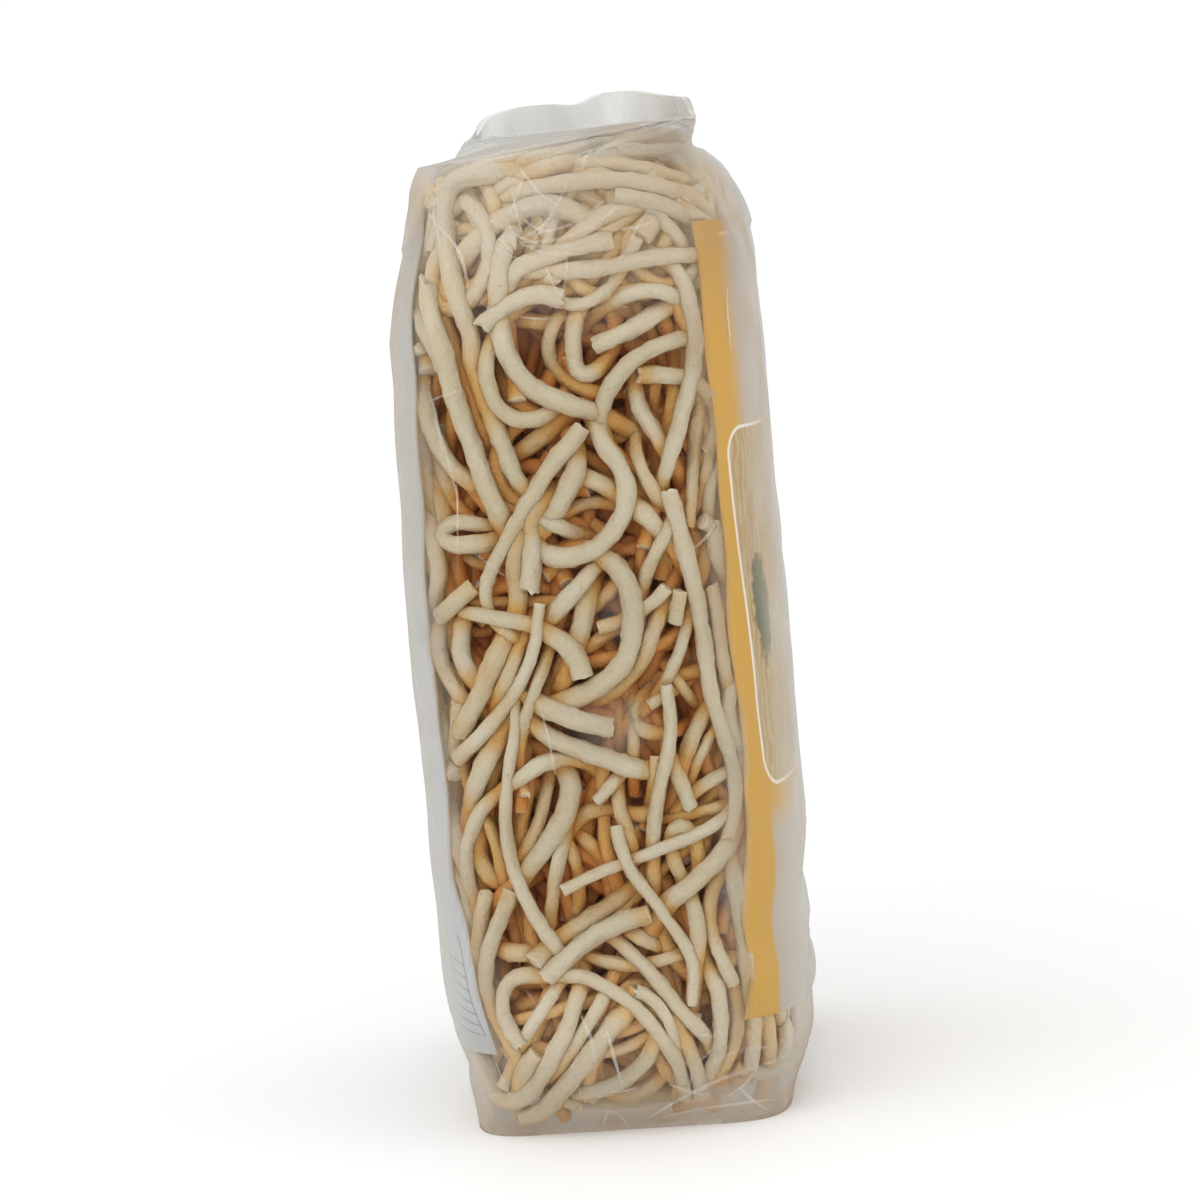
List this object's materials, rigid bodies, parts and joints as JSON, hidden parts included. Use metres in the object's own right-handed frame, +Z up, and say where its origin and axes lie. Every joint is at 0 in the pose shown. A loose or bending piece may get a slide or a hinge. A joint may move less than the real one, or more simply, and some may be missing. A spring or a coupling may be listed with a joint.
{
  "type": "clear sealed pack of dried pancit canton noodles",
  "caption": "Clear film pack of thick dried wheat noodles, standing on its folded end, with a card in its front and back faces.",
  "frame": {"origin": "centre of the flat base that the pack stands on", "axes": "+Z up through the pack to its sealed fin, +X out of the face with the front card, Y across the broad faces"},
  "size_m": [0.0844, 0.1521, 0.22],
  "materials": {
    "noodles": "dry, matt, cream dough",
    "film": "clear glossy film",
    "front_card": "printed card, satin",
    "back_card": "printed card, satin"
  },
  "bodies": {
    "root": {"noodle_bag": "noodles", "front_card": "front_card", "back_card": "back_card"}
  },
  "joints": []
}
